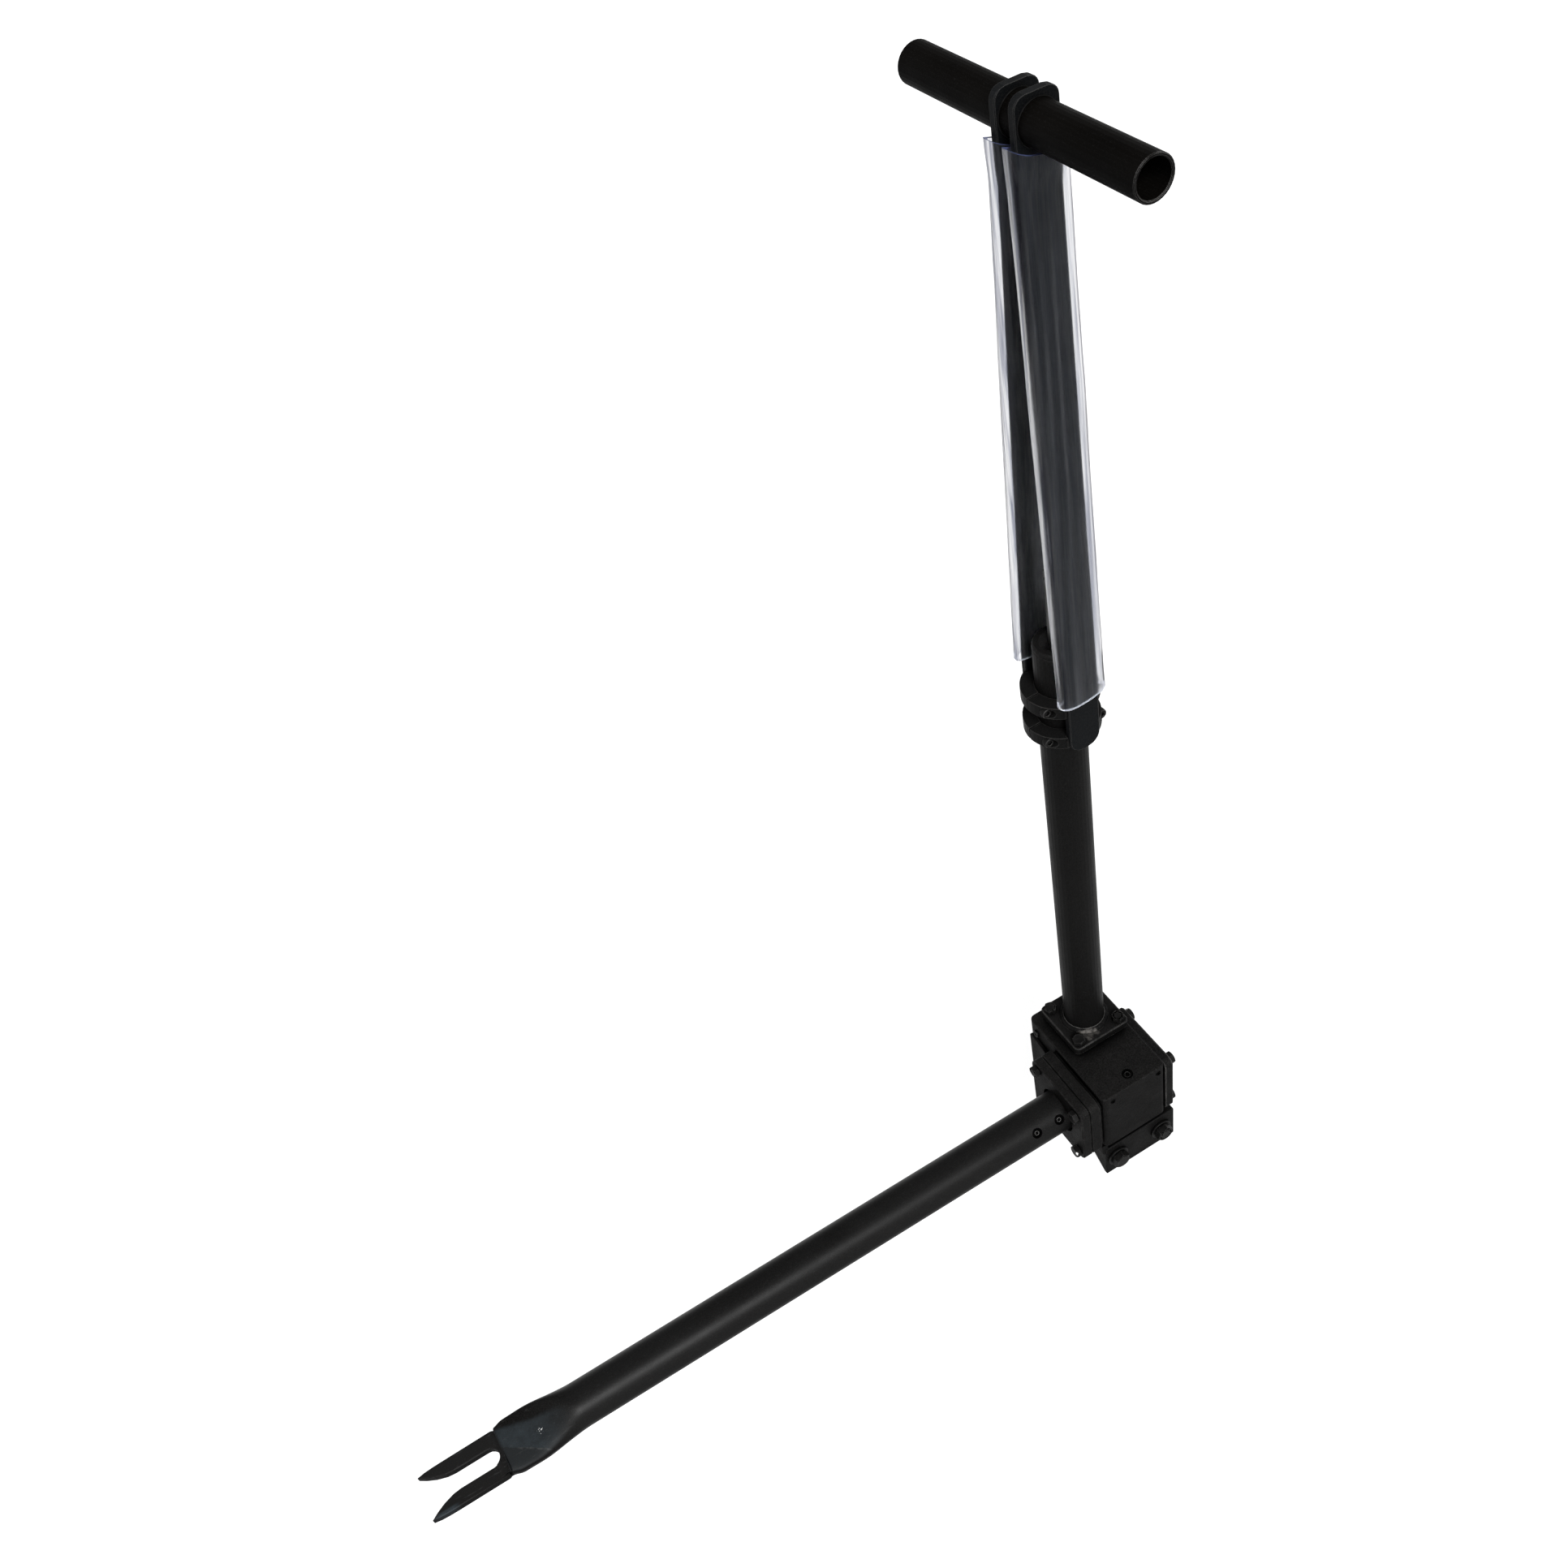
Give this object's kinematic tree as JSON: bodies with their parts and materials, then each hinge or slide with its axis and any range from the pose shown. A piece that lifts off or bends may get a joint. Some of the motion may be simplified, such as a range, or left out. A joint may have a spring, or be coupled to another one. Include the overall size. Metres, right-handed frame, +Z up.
{
  "type": "t-handled worm-drive fork tool",
  "caption": "T-handled steel hand tool: a column with a split-clamped handle frame on a worm gearbox that turns a long tube ending in a flat two-pronged fork.",
  "frame": {"origin": "where the column axis meets the bottom face of the base foot", "axes": "+Z up along the column towards the handle; -X along the fork tube towards the fork; +Y away from the side that carries the foot bolts, and along the handle tube"},
  "size_m": [0.9255, 0.2695, 1.242],
  "materials": {
    "gearbox_paint": "grey-black paint over castings, slightly grainy and dusty",
    "satin_black": "satin black paint",
    "dark_fasteners": "blackened steel",
    "machined_steel": "dark oiled steel",
    "bronze": "machined bronze",
    "seal_rubber": "matt black rubber",
    "clear_sleeve": "clear flexible plastic hose"
  },
  "bodies": {
    "gearbox": {"base_foot": "gearbox_paint", "column_bolt_1": "dark_fasteners", "column_bolt_2": "dark_fasteners", "column_bolt_3": "dark_fasteners", "column_bolt_4": "dark_fasteners", "column_bush": "bronze", "column_cap": "satin_black", "column_flange": "satin_black", "column_pad": "seal_rubber", "column_tube": "satin_black", "filler_plug": "dark_fasteners", "foot_bolt_1": "dark_fasteners", "foot_bolt_2": "dark_fasteners", "foot_washer_1": "dark_fasteners", "foot_washer_2": "dark_fasteners", "gear_housing": "gearbox_paint", "level_plug": "dark_fasteners", "output_bearing": "machined_steel", "output_bearing_cover": "gearbox_paint", "output_bolt_1": "dark_fasteners", "output_bolt_2": "dark_fasteners", "output_bolt_3": "dark_fasteners", "output_bolt_4": "dark_fasteners", "output_flange": "gearbox_paint", "output_seal": "seal_rubber", "rear_bearing": "machined_steel", "rear_bolt_1": "dark_fasteners", "rear_bolt_2": "dark_fasteners", "rear_bolt_3": "dark_fasteners", "rear_bolt_4": "dark_fasteners", "rear_cover": "gearbox_paint", "worm_bearing_low": "machined_steel", "worm_bearing_top": "machined_steel"},
    "fork": {"output_shaft": "machined_steel", "worm_wheel": "bronze", "fork_tube": "satin_black", "fork_head": "satin_black", "set_screw_1": "dark_fasteners", "set_screw_2": "dark_fasteners"},
    "drive": {"drive_shaft": "machined_steel", "worm": "machined_steel"},
    "handle_frame": {"collar_near_lower": "satin_black", "collar_near_upper": "satin_black", "collar_far_lower": "satin_black", "collar_far_upper": "satin_black", "bar_near": "satin_black", "bar_far": "satin_black", "sleeve_near": "clear_sleeve", "sleeve_far": "clear_sleeve", "handle_tube": "satin_black", "clamp_screw_lower_left": "dark_fasteners", "clamp_screw_lower_right": "dark_fasteners", "clamp_screw_upper_left": "dark_fasteners", "clamp_screw_upper_right": "dark_fasteners"}
  },
  "joints": [
    {"name": "output_spin", "type": "hinge", "parent": "gearbox", "child": "fork", "pos_m": [0, -0.049, 0.1095], "axis": [1, 0, 0], "continuous": true},
    {"name": "input_spin", "type": "hinge", "parent": "gearbox", "child": "drive", "pos_m": [0, 0, 0.1095], "axis": [0, 0, 1], "continuous": true},
    {"name": "handle_swivel", "type": "hinge", "parent": "gearbox", "child": "handle_frame", "pos_m": [0, 0, 0.667], "axis": [0, 0, 1], "continuous": true}
  ],
  "couplings": [
    {"joint": "input_spin", "follows": "output_spin", "ratio": -30}
  ]
}
